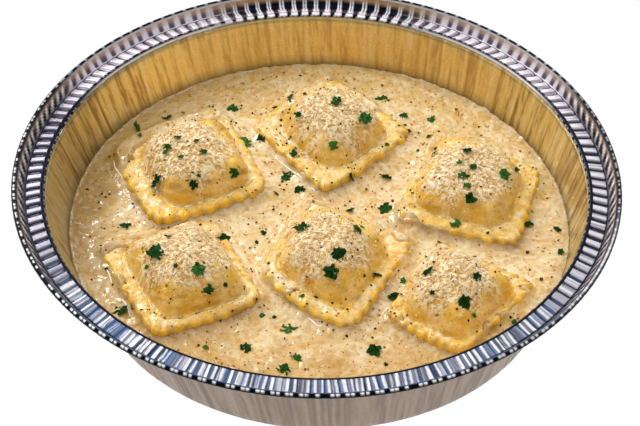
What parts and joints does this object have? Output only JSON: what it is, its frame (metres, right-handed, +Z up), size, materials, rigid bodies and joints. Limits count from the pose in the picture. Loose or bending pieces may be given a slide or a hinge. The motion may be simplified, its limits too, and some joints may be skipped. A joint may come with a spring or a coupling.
{
  "type": "ravioli",
  "caption": "Square filled pasta with sealed scalloped edges, lying in cream sauce in a round foil pan with a ribbed rim",
  "frame": {"origin": "middle of the pan's underside, which rests on the table", "axes": "+Z is up, -Y is the front and +X is to the right"},
  "size_m": [0.23, 0.23, 0.047],
  "materials": {
    "foil": "pressed foil, bright",
    "cream": null,
    "pasta": null
  },
  "bodies": {
    "root": {"foil_pan": "foil", "cream_sauce": "cream", "ravioli_1": "pasta", "ravioli_2": "pasta", "ravioli_3": "pasta", "ravioli_4": "pasta", "ravioli_5": "pasta", "ravioli_6": "pasta"}
  },
  "joints": []
}
